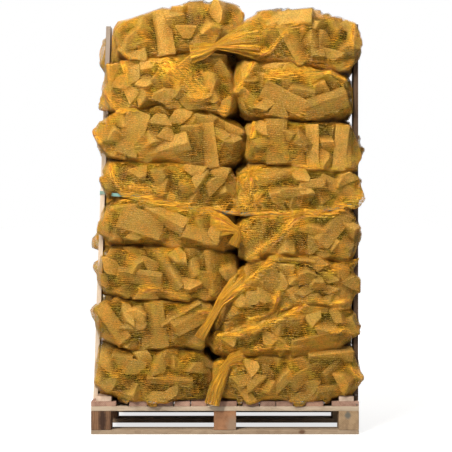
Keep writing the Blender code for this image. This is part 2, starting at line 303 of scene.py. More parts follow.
# %% [markdown]
# ## Timber
#
# Sawn boards show streaks along the grain on their faces and arcs of growth rings on their ends.
# A picture would need a layout for every face. One solid pattern that fills space gives both:
# rings round a line that runs along the board, a little disturbed, cut wherever the board is cut.
# The same group serves the pallet and the firewood, each with its own colours and ring spacing.

# %% Node group: rings, streaks, knots and stains
STREAK_SCALE = (3.0, 34.0, 34.0)
FIBRE_SCALE = (18.0, 420.0, 420.0)
KNOT_SCALE = (3.4, 8.5, 8.5)
HEART_ACROSS = 0.07
HEART_UP = 0.05
RING_WANDER = 0.03


def make_timber_group():
    group, given = new_group(
        "timber",
        {
            "Place": ("Vector", None),
            "Pale": ("Color", (0.6, 0.5, 0.35, 1)),
            "Dark": ("Color", (0.4, 0.28, 0.16, 1)),
            "Stain": ("Color", (0.2, 0.15, 0.1, 1)),
            "Ring Spacing": ("Float", 0.006),
            "Stain Amount": ("Float", 0.3),
            "Knots": ("Float", 0.5),
        },
        {"Colour": "Color", "Roughness": "Float", "Height": "Float"},
    )
    place = given["Place"]
    streaks = noise(group, vector_math(group, "MULTIPLY", place, STREAK_SCALE), 1.0, 4.0, Roughness=0.6)
    fibres = noise(group, vector_math(group, "MULTIPLY", place, FIBRE_SCALE), 1.0, 2.0)
    parts = add_node(group, "ShaderNodeSeparateXYZ", {0: place}).outputs
    across = add(group, parts[1], HEART_ACROSS)
    upward = add(group, parts[2], HEART_UP)
    radius = add(group, multiply(group, across, across), multiply(group, upward, upward))
    wander = multiply(group, noise(group, place, 7.0, 2.0), RING_WANDER)
    radius = add(group, math_node(group, "SQRT", radius), wander)
    turns = math_node(group, "DIVIDE", radius, given["Ring Spacing"])
    rings = spread(group, math_node(group, "FRACT", turns), 0.35, 1.0)
    blotches = noise(group, place, 14.0, 3.0, Roughness=0.65)
    stain = multiply(group, spread(group, blotches, 0.48, 0.72), given["Stain Amount"])
    knot_place = vector_math(group, "MULTIPLY", place, KNOT_SCALE)
    cells = add_node(group, "ShaderNodeTexVoronoi", {"Vector": knot_place, "Scale": 1.0})
    knot = spread(group, cells.outputs["Distance"], 0.17, 0.06)
    tone = add(group, multiply(group, rings, 0.35), spread(group, streaks, 0.35, 0.7, 0.0, 0.6))
    tone = add(group, tone, spread(group, fibres, 0.3, 0.8, -0.1, 0.15))
    colour = mix_colours(group, tone, given["Pale"], given["Dark"])
    for share in (stain, multiply(group, knot, given["Knots"])):
        colour = mix_colours(group, share, colour, given["Stain"])
    return finish_group(group, {
        "Colour": colour,
        "Roughness": spread(group, tone, 0.0, 1.0, 0.62, 0.86),
        "Height": add(group, multiply(group, fibres, 0.6), multiply(group, rings, -0.4)),
    })


timber_group = make_timber_group()


def add_timber(tree, place, colours, ring_spacing, stain_amount, knots):
    """Puts the group in a material with its own pale, dark and stain colours."""
    inputs = {"Place": place, "Ring Spacing": ring_spacing, "Stain Amount": stain_amount, "Knots": knots}
    for name, colour in zip(("Pale", "Dark", "Stain"), colours):
        inputs[name] = (*colour, 1)
    return add_node(tree, "ShaderNodeGroup", inputs, node_tree=timber_group).outputs


# %% Material: sawn timber, one for each board
BOARD_RINGS = 0.006
BOARD_STAINS = 0.35
BOARD_KNOTS = 0.6


def add_mark(tree, place, colour, centre, reach, mark_colour, blend):
    """A ragged spot round a centre, with its own reach along each axis."""
    offset = vector_math(tree, "DIVIDE", vector_math(tree, "SUBTRACT", place, centre), reach)
    away = add_node(tree, "ShaderNodeVectorMath", {0: offset}, operation="LENGTH").outputs["Value"]
    away = add(tree, away, multiply(tree, noise(tree, place, 90.0, 3.0), 0.8))
    return mix_colours(tree, spread(tree, away, 1.9, 0.9), colour, (*mark_colour, 1), blend)


def timber_material(name, colours, turn, shift, mark):
    """turn brings the board's long side onto X; shift picks another part of the pattern."""
    material, tree, shader = new_material(name, 0.75, 0.25)
    place = object_place(tree)
    inputs = {"Vector": place, "Location": shift, "Rotation": turn}
    mapped = add_node(tree, "ShaderNodeMapping", inputs).outputs[0]
    grain = add_timber(tree, mapped, colours, BOARD_RINGS, BOARD_STAINS, BOARD_KNOTS)
    colour = add_mark(tree, place, grain["Colour"], *mark) if mark else grain["Colour"]
    fill_inputs(tree, shader, {
        "Base Color": colour,
        "Roughness": grain["Roughness"],
        "Normal": bump(tree, grain["Height"], 0.6, 0.0012),
    })
    return material


# %% Colours of the boards
ALONG_X = (0.0, 0.0, 0.0)
ALONG_Y = (0.0, 0.0, math.pi / 2)
ALONG_Z = (0.0, math.pi / 2, 0.0)
TIMBER = {
    # pale wood, dark wood, stain, and the way the grain runs
    "runner": ((0.38, 0.28, 0.19), (0.25, 0.17, 0.11), (0.20, 0.13, 0.08), ALONG_X),
    "stringer": ((0.53, 0.43, 0.33), (0.36, 0.28, 0.20), (0.26, 0.19, 0.12), ALONG_X),
    "deck": ((0.44, 0.27, 0.20), (0.23, 0.125, 0.09), (0.15, 0.09, 0.07), ALONG_Y),
    "rail": ((0.66, 0.50, 0.39), (0.48, 0.34, 0.25), (0.28, 0.18, 0.13), ALONG_Y),
    "post": ((0.63, 0.53, 0.43), (0.49, 0.40, 0.31), (0.31, 0.23, 0.17), ALONG_Z),
    # The front right corner board gets near-black wood: painted shade, for the shadow of the load on it.
    "post_front_right": ((0.10, 0.06, 0.035), (0.06, 0.035, 0.02), (0.025, 0.015, 0.01), ALONG_Z),
    "left": ((0.24, 0.125, 0.065), (0.06, 0.03, 0.018), (0.03, 0.02, 0.012), ALONG_Z),
    "middle": ((0.36, 0.18, 0.092), (0.21, 0.10, 0.05), (0.12, 0.07, 0.04), ALONG_Y),
    "right": ((0.38, 0.26, 0.15), (0.22, 0.14, 0.08), (0.10, 0.065, 0.045), ALONG_Y),
}
MARKS = {
    # a knot, stains and a weathered top: middle, reach along each axis, colour, how it blends
    "runner_front": ((0.345, -0.40, 0.011), (0.014, 0.10, 0.009), (0.13, 0.07, 0.04), "MIX"),
    "block_front_left": ((-0.548, -0.40, 0.062), (0.016, 0.10, 0.06), (0.045, 0.022, 0.014), "MIX"),
    "block_front_middle": ((0.040, -0.40, 0.035), (0.030, 0.10, 0.045), (0.27, 0.18, 0.12), "MIX"),
    "block_front_right": ((0.550, -0.40, 0.086), (0.013, 0.10, 0.016), (0.13, 0.12, 0.10), "MIX"),
    "post_front_left": ((-0.53, -0.30, 1.85), (0.30, 0.05, 0.34), (0.36, 0.355, 0.37), "MULTIPLY"),
}
DECK_TINTS = (0.72, 1.12)
BOARD_TINTS = (0.90, 1.08)
WARMTHS = (0.96, 1.05)
PATTERN_ROOM = 3.0


def timber_kind(name):
    if name in TIMBER:
        return name
    first, last = name.split("_")[0], name.split("_")[-1]
    return last if first == "block" else first


boards = [name for name in sorted(nodes) if not name.startswith("sack") and name != "strap"]
for name in boards:
    pale, dark, stain, turn = TIMBER[timber_kind(name)]
    tint = seed_numbers.uniform(*(DECK_TINTS if name.startswith("deck") else BOARD_TINTS))
    warm = seed_numbers.uniform(*WARMTHS)
    pale, dark = ((c[0] * tint * warm, c[1] * tint, c[2] * tint / warm) for c in (pale, dark))
    shift = tuple(seed_numbers.uniform(-PATTERN_ROOM, PATTERN_ROOM) for _ in range(3))
    finish = timber_material(f"wood_{name}", (pale, dark, stain), turn, shift, MARKS.get(name))
    use_material(nodes[name], finish)
print("timber set on", len(boards), "boards")

# %% [markdown]
# ## Nails
#
# The boards are nailed. The heads show on the tops of the deck boards and rails, on the feet of
# the corner boards and on one board's end.

# %% Nail heads
NAIL_RADIUS = 0.0045
NAIL_SIDES = 12
NAIL_PROUD = 0.0008
NAIL_DEPTH = 0.004
NAIL_SPREAD = 0.24
POST_NAIL_HEIGHTS = (0.024, 0.060, 0.110)
END_NAIL = (0.590, 0.1335)


def nail_places():
    """Each nail head: its place, and the way it faces."""
    up = (0, 0, 1)
    rows = [sum(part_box(f"stringer_{row}"), Vector()).y / 2 for row in ("front", "centre", "back")]
    for name in sorted(nodes):
        low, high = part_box(name)
        middle = (low + high) / 2
        if name.startswith("deck_board_"):
            step = (high.x - low.x) * NAIL_SPREAD
            for y in rows:
                yield (middle.x - step, y + 0.012, high.z), up
                yield (middle.x + step, y - 0.010, high.z), up
        elif name.startswith("rail_"):
            for y in rows:
                yield (middle.x, y + 0.02, high.z), up
        elif name.startswith("post_"):
            front = middle.y < 0
            for z in POST_NAIL_HEIGHTS:
                place = (middle.x, low.y if front else high.y, low.z + z)
                yield place, (0, -1 if front else 1, 0)
    yield (END_NAIL[0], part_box("deck_board_11")[0].y, END_NAIL[1]), (0, -1, 0)


def add_nail(place, facing):
    facing = Vector(facing)
    bpy.ops.mesh.primitive_cylinder_add(
        vertices=NAIL_SIDES, radius=NAIL_RADIUS, depth=NAIL_DEPTH,
        location=Vector(place) + facing * (NAIL_PROUD - NAIL_DEPTH / 2),
        rotation=facing.to_track_quat("Z", "Y").to_euler(),
    )
    return bpy.context.object


nails = [add_nail(place, facing) for place, facing in nail_places()]
nail_count = len(nails)
choose_only(*nails)
bpy.ops.object.join()
bpy.ops.object.transform_apply(location=True, rotation=True, scale=True)
nails = bpy.context.object
nails.name = "nail_heads"
scene.cursor.location = (0, 0, 0)
bpy.ops.object.origin_set(type="ORIGIN_CURSOR")
nail_material, nail_tree, nail_shader = new_material("nail_steel", 0.5, 0.5)
nail_rust = spread(nail_tree, noise(nail_tree, object_place(nail_tree), 40.0, 3.0), 0.42, 0.62)
fill_inputs(nail_tree, nail_shader, {
    "Base Color": mix_colours(nail_tree, nail_rust, (0.20, 0.19, 0.18, 1), (0.16, 0.08, 0.04, 1)),
    "Metallic": spread(nail_tree, nail_rust, 0.0, 1.0, 0.9, 0.1),
})
nails.data.materials.append(nail_material)
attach(nails, "root")
print(nail_count, "nail heads")

# %% [markdown]
# ## Split logs
#
# Firewood is sawn to length, then split along the grain, so a log is a wedge: two flat torn faces,
# sometimes a third where the heart was knocked off, and bark on the round side. Cutting a round
# bar with planes is just what the axe does. A few different logs are made once, and copied.

# %% A few split logs, cut from round bars
LOG_LENGTH = 0.205
BARK_SIDES = 10
EDGE_WEAR = 0.0028
TORN_DEPTH = 0.0022
CROSS_CUTS = (-0.17, 0.16)
SHARP_ANGLE = 38
PATTERN_STEP = 0.35
LOG_FORMS = (
    # radius, wedge angle in degrees, heart cut off at, outside cut off at (shares of the radius)
    (0.088, 84, 0.16, 0.80), (0.096, 66, 0.24, 0.84), (0.076, 108, 0.10, 1.10),
    (0.094, 76, 0.30, 0.82), (0.102, 60, 0.28, 0.84), (0.088, 92, 0.22, 0.76),
    (0.080, 120, 0.20, 0.74), (0.100, 60, 0.38, 1.10), (0.086, 74, 0.10, 0.86),
)


def make_log(number, radius, angle, heart, outside):
    """A split log along X, with its middle at the origin, and its corners and flat sides."""
    bpy.ops.object.select_all(action="DESELECT")
    bpy.ops.mesh.primitive_cylinder_add(
        vertices=BARK_SIDES, radius=radius, depth=LOG_LENGTH, rotation=(0, math.pi / 2, 0)
    )
    log = bpy.context.object
    log.name = f"log_form_{number}"
    bpy.ops.object.transform_apply(rotation=True)
    half = math.radians(angle / 2)
    bpy.ops.object.mode_set(mode="EDIT")
    cut((0, 0, 0), (0, -math.sin(half), math.cos(half)))
    cut((0, 0, 0), (0, -math.sin(half), -math.cos(half)))
    cut((0, radius * heart, 0), (0, -1, 0.15 - 0.05 * number))
    if outside < 1:
        cut((0, radius * outside, 0), (0, 1, 0.08 * number - 0.2))
    bpy.ops.object.mode_set(mode="OBJECT")
    for polygon in log.data.polygons:
        middle = polygon.center
        on_bark = math.hypot(middle.y, middle.z) > radius * 0.95
        polygon.material_index = 2 if abs(polygon.normal.x) > 0.9 else int(on_bark)
    bpy.ops.object.origin_set(type="ORIGIN_CENTER_OF_VOLUME")
    log.location = (0, 0, 0)
    corners = np.array([vertex.co for vertex in log.data.vertices])
    normals = np.array([polygon.normal for polygon in log.data.polygons])
    offsets = np.array([polygon.normal.dot(polygon.center) for polygon in log.data.polygons])
    bpy.ops.object.mode_set(mode="EDIT")
    for share in CROSS_CUTS:
        cut((LOG_LENGTH * share, 0, 0), (1, 0.2, 0.1), keep_both=True)
    bpy.ops.mesh.select_all(action="SELECT")
    bpy.ops.transform.vertex_random(offset=TORN_DEPTH, seed=number + 1)
    bpy.ops.mesh.select_all(action="DESELECT")
    bpy.ops.mesh.edges_select_sharp(sharpness=math.radians(SHARP_ANGLE))
    bpy.ops.mesh.bevel(offset=EDGE_WEAR, segments=1)
    bpy.ops.object.mode_set(mode="OBJECT")
    place = log.data.attributes.new("log_place", "FLOAT_VECTOR", "POINT")
    for vertex, item in zip(log.data.vertices, place.data):
        item.vector = vertex.co + Vector((0, 0, PATTERN_STEP * number))
    log.hide_render = True
    return log, corners, normals, offsets


log_forms = [make_log(number, *form) for number, form in enumerate(LOG_FORMS)]
print("log forms:", [len(form[0].data.polygons) for form in log_forms], "faces")


# %% Materials: split wood, bark and sawn ends
LOG_KNOTS = 0.35
LOG_LOOKS = (
    # name; pale, dark and stain colours; ring spacing; stains; depth of the relief
    ("split_wood", ((0.82, 0.440, 0.088), (0.58, 0.28, 0.046), (0.20, 0.11, 0.04)), 0.004, 0.45, 0.002),
    ("bark", ((0.17, 0.11, 0.06), (0.09, 0.055, 0.03), (0.04, 0.03, 0.02)), 0.011, 0.6, 0.005),
    ("sawn_end", ((0.88, 0.50, 0.120), (0.62, 0.32, 0.060), (0.24, 0.14, 0.05)), 0.0035, 0.3, 0.001),
)


def log_material(name, colours, ring_spacing, stain_amount, depth):
    """Each log has its own tone and part of the pattern, and painted shade makes it darker and redder
    the deeper it lies.
    """
    material, tree, shader = new_material(name, 0.7, 0.25)
    tone = attribute(tree, "log_tone")
    buried = attribute(tree, "buried")
    far = add_node(tree, "ShaderNodeCombineXYZ", {0: multiply(tree, tone, 9.0)}).outputs[0]
    place = vector_math(tree, "ADD", attribute(tree, "log_place", "Vector"), far)
    grain = add_timber(tree, place, colours, ring_spacing, stain_amount, LOG_KNOTS)
    # Fine specks on the wood: partly flecks of dirt, partly the net's painted shadow and glint.
    dirt_and_painted_net_specks = spread(tree, noise(tree, place, 150.0, 1.0), 0.3, 0.7, 0.72, 1.2)
    bright = multiply(tree, spread(tree, tone, 0.0, 1.0, 0.64, 1.06), dirt_and_painted_net_specks)
    # Painted shade: the deeper a log lies under the net, the darker it is painted, down to a twentieth.
    bright = multiply(tree, bright, spread(tree, buried, 0.0, 1.0, 1.0, 0.05))
    hue = multiply(tree, math_node(tree, "FRACT", multiply(tree, tone, 7.3)), 0.5)
    varied = mix_colours(tree, hue, grain["Colour"], (0.52, 0.38, 0.10, 1))
    # The same painted shade also turns deep logs red-brown.
    varied = mix_colours(tree, buried, varied, (0.42, 0.15, 0.008, 1))
    inputs = {0: varied, "Scale": bright}
    fill_inputs(tree, shader, {
        "Base Color": add_node(tree, "ShaderNodeVectorMath", inputs, operation="SCALE").outputs[0],
        "Roughness": grain["Roughness"],
        "Normal": bump(tree, grain["Height"], 0.8, depth),
    })
    return material


log_materials = [log_material(*look) for look in LOG_LOOKS]
for log, *_ in log_forms:
    log.data.materials.clear()
    for material in log_materials:
        log.data.materials.append(material)
print("log materials:", [material.name for material in log_materials])

# %% [markdown]
# ## Where each sack is
#
# A front sack is one solid of the model. A rear layer is one solid of four sacks, so a copy of it
# is cut in two across and in two front to back. Each of these volumes then holds its own logs.

# %% The volume of every sack
REAR_ROW_SPLIT = 0.148
SPLIT_GAP = 0.003
POST_SHOWS_TO = -0.47
POST_SHOWS_BY = 0.030
ROW_LIFTS = {"front": 0.0, "middle": 0.020, "back": -0.022}
LEVEL_LAYERS = (4, 5)
LIFTS_FROM = 0.40
LIFTS_OVER = 0.10
sack_volumes = []


def copy_solid(node_name, copy_name):
    copy = bpy.data.objects.new(copy_name, nodes[node_name].data.copy())
    scene.collection.objects.link(copy)
    choose_only(copy)
    bpy.ops.object.mode_set(mode="EDIT")
    bpy.ops.mesh.select_all(action="SELECT")
    bpy.ops.mesh.remove_doubles(threshold=0.00001)
    bpy.ops.object.mode_set(mode="OBJECT")
    return copy


def keep_half(obj, point, outward):
    choose_only(obj)
    bpy.ops.object.mode_set(mode="EDIT")
    cut(point, outward)
    bpy.ops.object.mode_set(mode="OBJECT")


def shape_ends(volume, layer, row, outward):
    """The top left sack stops short of its post, and each row's ends lie at their own height."""
    for vertex in volume.data.vertices:
        if row == "front" and outward < 0 and layer == LAYERS:
            beyond = max(POST_SHOWS_TO - vertex.co.x, 0)
            vertex.co.x += min(beyond, POST_SHOWS_BY)
        if layer not in LEVEL_LAYERS and (layer > 1 or row == "middle"):
            share = min(max((abs(vertex.co.x) - LIFTS_FROM) / LIFTS_OVER, 0), 1)
            vertex.co.z += ROW_LIFTS[row] * share


for layer in range(1, LAYERS + 1):
    for side in ("left", "right"):
        outward = 1 if side == "right" else -1
        node = f"sack_front_{side}_{layer}"
        sack_volumes.append((copy_solid(node, f"front_{side}_{layer}"), node, "front", outward))
        shape_ends(sack_volumes[-1][0], layer, "front", outward)
        for row, forward in (("middle", 1), ("back", -1)):
            node = f"sacks_rear_{layer}"
            volume = copy_solid(node, f"{row}_{side}_{layer}")
            keep_half(volume, (outward * SPLIT_GAP, 0, 0), (-outward, 0, 0))
            keep_half(volume, (0, REAR_ROW_SPLIT - forward * SPLIT_GAP, 0), (0, forward, 0))
            shape_ends(volume, layer, row, outward)
            sack_volumes.append((volume, node, row, outward))
print(len(sack_volumes), "sacks")

# %% [markdown]
# ## Filling the sacks
#
# The logs lie as they fell: some show their ends, some their long sides. Dropping a thousand rigid
# bodies would take minutes and settle differently after every change. Here each log is a short
# row of balls. Balls of different logs push each other apart, and the sack's wall pushes them in,
# until the load is jammed, as in a full sack.

# %% Pack logs into a volume
LOGS_PER_LITRE = 0.88
BALLS = 5
BALL_SHARE = np.linspace(-1, 1, BALLS)
BALL_RADIUS = 0.034
BALL_REACH = LOG_LENGTH / 2 - BALL_RADIUS
SPIN_SCALE = 1 / (BALL_REACH ** 2 * (BALL_SHARE ** 2).sum())
BALL_PUSH = 0.35
WALL_GIVE = 0.015
WALL_PUSH = 0.7
WALL_SPIN = 0.5
START_ROOM = 0.05
PACK_STEPS = 50


def first_turn():
    """How a log starts: mostly front to back or side to side, some leaning."""
    kind = seed_numbers.random()
    if kind < 0.58:
        direction = (seed_numbers.gauss(0, 0.25), 1, seed_numbers.gauss(0, 0.2))
    elif kind < 0.85:
        direction = (1, seed_numbers.gauss(0, 0.3), seed_numbers.gauss(0, 0.35))
    else:
        direction = (seed_numbers.gauss(0, 0.6), seed_numbers.gauss(0, 0.3), 1)
    laid = Vector(direction).to_track_quat("X", "Z").to_matrix()
    return laid @ Matrix.Rotation(seed_numbers.uniform(0, 2 * math.pi), 3, "X")


def press_apart(middles, turns):
    """Shift and spin of each log from the balls of other logs that it presses on."""
    lengths = np.array([turn.col[0] for turn in turns])
    levers = lengths[:, None, :] * (BALL_SHARE * BALL_REACH)[None, :, None]
    balls = (middles[:, None, :] + levers).reshape(-1, 3)
    owner = np.repeat(np.arange(len(middles)), BALLS)
    apart = balls[:, None, :] - balls[None, :, :]
    distance = np.linalg.norm(apart, axis=2) + 1e-9
    press = np.where(owner[:, None] != owner[None, :], 2 * BALL_RADIUS - distance, 0)
    push = (apart / distance[:, :, None] * np.maximum(press, 0)[:, :, None]).sum(1) * BALL_PUSH
    push = push.reshape(len(middles), BALLS, 3)
    return push.mean(1), np.cross(levers, push).sum(1) * SPIN_SCALE


def press_inside(wall, middle, turn, corners):
    """Shift and spin of one log from its corners that stand out of the sack."""
    shift = Vector()
    spin = Vector()
    for corner in corners:
        lever = turn @ Vector(corner)
        point = middle + lever
        near, normal, _, away = wall.find_nearest(point)
        if (point - near).dot(normal) > 0 and away > WALL_GIVE:
            push = (near - point) * (1 - WALL_GIVE / away)
            if push.length > shift.length:
                shift = push
            spin += lever.cross(push) * SPIN_SCALE * WALL_SPIN
    return shift * WALL_PUSH, spin


def pack_logs(volume, low, high):
    """Logs that fill a closed mesh: the form, the middle and the turn of each."""
    wall = BVHTree.FromObject(volume, bpy.context.evaluated_depsgraph_get())
    count = int(np.prod(high - low) * 1000 * LOGS_PER_LITRE)
    forms = [seed_numbers.choice(log_forms) for _ in range(count)]
    middles = numbers.uniform(low + START_ROOM, high - START_ROOM, (count, 3))
    turns = [first_turn() for _ in range(count)]
    for _ in range(PACK_STEPS):
        shifts, spins = press_apart(middles, turns)
        for index, form in enumerate(forms):
            middle = Vector(middles[index])
            shift, spin = press_inside(wall, middle, turns[index], form[1])
            middles[index] += shifts[index] + np.array(shift)
            spin += Vector(spins[index])
            if spin.length > 1e-6:
                turns[index] = Matrix.Rotation(spin.length, 3, spin) @ turns[index]
    return forms, middles, turns


# %% Copy logs to their places and join them
def fill_sack(volume, low, high):
    """Returns one mesh of joined logs, and each log's place, turn and flat sides for the net."""
    copies, placed = [], []
    for form, middle, turn in zip(*pack_logs(volume, low, high)):
        copy = bpy.data.objects.new("log", form[0].data.copy())
        scene.collection.objects.link(copy)
        copy.matrix_world = Matrix.Translation(Vector(middle)) @ turn.to_4x4()
        tone = copy.data.attributes.new("log_tone", "FLOAT", "POINT")
        tone.data.foreach_set("value", [seed_numbers.random()] * len(copy.data.vertices))
        copies.append(copy)
        placed.append((middle, np.array(turn), form[2], form[3]))
    choose_only(*copies)
    bpy.ops.object.join()
    bpy.ops.object.transform_apply(location=True, rotation=True, scale=True)
    joined = bpy.context.object
    joined.name = f"logs_{volume.name}"
    return joined, placed


# %% [markdown]
# ## Nets
#
# The net is pulled tight over the logs: flat where a log's side presses on it, straight from one
# log's corner to the next, and puckered at the ends. Shrinking a skin gives this: a closed mesh
# starts at the sack's wall, every point is drawn to its neighbours, and no point may enter a log.

# %% Shrink a skin over the logs
SKIN_CELL = {"front": 0.0080, "middle": 0.016, "back": 0.0105}
SKIN_STEPS = 30
SKIN_PULL = 0.6
CORNER_ROUNDING = 0.0025
OUTWARD_CHOICE = 0.02
BODY_GROWTH = 0.004
END_GROWTH = 0.012
BODY_SLACK = 0.024
END_SLACK = 0.017
LOG_REACH = 0.145
NET_GIRTH = 0.96


def skin_from(volume, cell):
    choose_only(volume)
    bpy.ops.object.modifier_add(type="REMESH")
    remesh = volume.modifiers[-1]
    remesh.mode = "VOXEL"
    remesh.voxel_size = cell
    bpy.ops.object.modifier_apply(modifier=remesh.name)


def read_vectors(items, name):
    values = np.empty(len(items) * 3)
    items.foreach_get(name, values)
    return values.reshape(-1, 3)


def read_indices(items, name, each=1):
    values = np.empty(len(items) * each, int)
    items.foreach_get(name, values)
    return values


def ramp(values, width):
    """0 for values up to 0, 1 from the width on, and a straight slope between."""
    return np.clip(values / width, 0, 1)


def lift_off_logs(points, placed, clearance, outward):
    """Moves points that are in a log, or too close, out past its rounded edges."""
    for middle, turn, normals, offsets in placed:
        near = np.nonzero(((points - middle) ** 2).sum(1) < LOG_REACH ** 2)[0]
        if len(near) == 0:
            continue
        depths = (points[near] - middle) @ turn @ normals.T - offsets
        inside = depths.max(1) < clearance
        near = near[inside]
        depths = depths[inside]
        choice = depths + OUTWARD_CHOICE * (outward[near] @ turn @ normals.T)
        weights = np.exp((choice - choice.max(1)[:, None]) / CORNER_ROUNDING)
        weights /= weights.sum(1)[:, None]
        lift = np.maximum(clearance - (weights * depths).sum(1), 0)
        out = weights @ normals
        out /= np.linalg.norm(out, axis=1)[:, None] + 1e-9
        points[near] += (lift[:, None] * out) @ turn.T


def shrink(points, edges, placed, clearance, outward, slack):
    """Draws the skin in, by no more than the slack, and keeps it outside the logs."""
    start = points.copy()
    count = len(points)
    links = np.bincount(edges.ravel(), minlength=count)[:, None]
    for _ in range(SKIN_STEPS):
        total = np.empty_like(points)
        for axis in range(3):
            total[:, axis] = np.bincount(edges[:, 0], points[edges[:, 1], axis], count)
            total[:, axis] += np.bincount(edges[:, 1], points[edges[:, 0], axis], count)
        points += (total / links - points) * SKIN_PULL
        drawn = ((start - points) * outward).sum(1)
        points += np.maximum(drawn - slack, 0)[:, None] * outward
        lift_off_logs(points, placed, clearance, outward)
    lift_off_logs(points, placed, clearance, outward)


def lay_out_net(mesh, points, low, high, facing):
    """UV in metres: along the sack, and round it with the join at the side away from view."""
    middle = (low + high) / 2
    half = (high - low) / 2
    sideways = (points[:, 0] - middle[0]) / half[0]
    radius = np.hypot(points[:, 1] - middle[1], points[:, 2] - middle[2])
    along = points[:, 0] - np.clip(sideways, -1, 1) ** 5 * (radius - half[2])
    angle = np.arctan2(points[:, 2] - middle[2], -(points[:, 1] - middle[1]) * facing)
    around = angle / (2 * math.pi) * NET_GIRTH
    corner_vertex = read_indices(mesh.loops, "vertex_index")
    starts = read_indices(mesh.polygons, "loop_start")
    corner_around = around[corner_vertex]
    face_high = np.maximum.reduceat(corner_around, starts)
    face_low = np.minimum.reduceat(corner_around, starts)
    sizes = np.diff(np.append(starts, len(corner_vertex)))
    wraps = np.repeat(face_high - face_low > NET_GIRTH / 2, sizes)
    corner_around = np.where(wraps & (corner_around < 0), corner_around + NET_GIRTH, corner_around)
    layer = mesh.uv_layers.new(name="net")
    layer.data.foreach_set("uv", np.column_stack([along[corner_vertex], corner_around]).ravel())


# %% [markdown]
# ## Gathers and folds
#
# Each net is closed by a drawstring at one end and sewn at the other. Where it is gathered, the
# mesh bunches into bright folds that run to the knot, and a slack net also folds in bands. A knot
# is one point with folds all round it, and a band is a line. Near either, the net is raised in
# ridges, and two attributes tell the material how bunched it is and which way the folds run.

# %% Places of the knots, bands and pulled-out corners on the front, as X and Z in metres
FRONT_KNOTS = {
    "front_left_8": ((0.075, 1.790),),
    "front_right_5": ((0.116, 1.171), (0.112, 1.041)),
    "front_left_4": ((0.055, 0.911),),
    "front_right_4": ((0.062, 0.911),),
    "front_right_1": ((0.005, 0.330),),
}
# Each band: its width, how high it stands, and its line
FRONT_BANDS = {
    "front_left_8": (
        (0.010, 0.5, ((-0.455, 1.712), (-0.440, 1.690), (-0.430, 1.672))),
        (0.012, 0.9, ((0.105, 1.860), (0.070, 1.830), (0.030, 1.800))),
    ),
    "front_left_7": (
        (0.014, 1.0, ((-0.542, 1.543), (-0.515, 1.495), (-0.488, 1.458), (-0.400, 1.455))),
        (0.045, 0.3, ((-0.270, 1.660), (-0.190, 1.590), (-0.120, 1.520))),
        (0.010, 0.6, ((-0.470, 1.690), (-0.440, 1.620), (-0.430, 1.560))),
    ),
    "front_left_6": (
        (0.012, 1.0, ((-0.594, 1.364), (-0.545, 1.290), (-0.520, 1.262), (-0.490, 1.250))),
        (0.012, 0.8, ((-0.530, 1.455), (-0.460, 1.450), (-0.400, 1.445))),
    ),
    "front_left_5": (
        (0.016, 1.0, ((-0.515, 1.215), (-0.500, 1.150), (-0.460, 1.095))),
        (0.022, 0.6, ((-0.430, 1.110), (-0.330, 1.095), (-0.240, 1.060))),
    ),
    "front_left_4": ((0.012, 0.7, ((-0.060, 0.985), (-0.010, 0.955), (0.055, 0.911))),),
    "front_left_3": (
        (0.018, 0.8, ((-0.370, 0.645), (-0.310, 0.655), (-0.240, 0.640), (-0.150, 0.600))),
    ),
    "front_left_2": ((0.010, 0.6, ((-0.120, 0.552), (-0.050, 0.545), (0.020, 0.560))),),
    "front_right_8": (
        (0.014, 0.8, ((0.575, 1.830), (0.565, 1.760), (0.570, 1.700))),
        (0.012, 0.8, ((0.370, 1.636), (0.410, 1.630), (0.450, 1.632))),
        (0.014, 0.9, ((0.140, 1.690), (0.200, 1.715), (0.270, 1.790))),
    ),
    "front_right_7": (
        (0.013, 1.0, ((0.139, 1.690), (0.099, 1.610), (0.058, 1.538))),
        (0.020, 0.6, ((0.200, 1.610), (0.330, 1.615), (0.470, 1.630), (0.537, 1.590))),
    ),
    "front_right_6": (
        (0.010, 0.7, ((0.130, 1.395), (0.127, 1.360), (0.120, 1.330))),
        (0.014, 0.6, ((0.300, 1.200), (0.420, 1.195), (0.540, 1.165))),
    ),
    "front_right_5": (
        (0.004, 1.0, ((0.050, 1.160), (0.072, 1.128), (0.085, 1.100), (0.105, 1.125), (0.116, 1.171))),
        (0.010, 0.9, ((0.116, 1.171), (0.122, 1.110), (0.112, 1.041))),
    ),
    "front_right_4": (
        (0.020, 1.2, ((0.335, 0.985), (0.224, 0.871), (0.110, 0.780))),
    ),
    "front_right_3": (
        (0.014, 1.1, ((0.340, 0.850), (0.237, 0.799), (0.090, 0.665), (-0.015, 0.605))),
        (0.014, 1.2, ((0.242, 0.638), (0.210, 0.553), (0.148, 0.522), (0.067, 0.472), (-0.07, 0.441))),
        (0.012, 1.0, ((0.560, 0.600), (0.470, 0.585), (0.400, 0.600), (0.330, 0.590), (0.250, 0.560))),
    ),
    "front_right_2": (
        (0.016, 0.8, ((0.134, 0.383), (0.240, 0.388), (0.336, 0.392))),
        (0.015, 1.2, ((0.358, 0.584), (0.246, 0.513), (0.148, 0.477), (0.067, 0.450), (-0.03, 0.44))),
        (0.012, 0.8, ((0.470, 0.460), (0.540, 0.470), (0.590, 0.440))),
    ),
    "front_right_1": ((0.012, 0.8, ((0.560, 0.300), (0.590, 0.270), (0.616, 0.253))),),
}
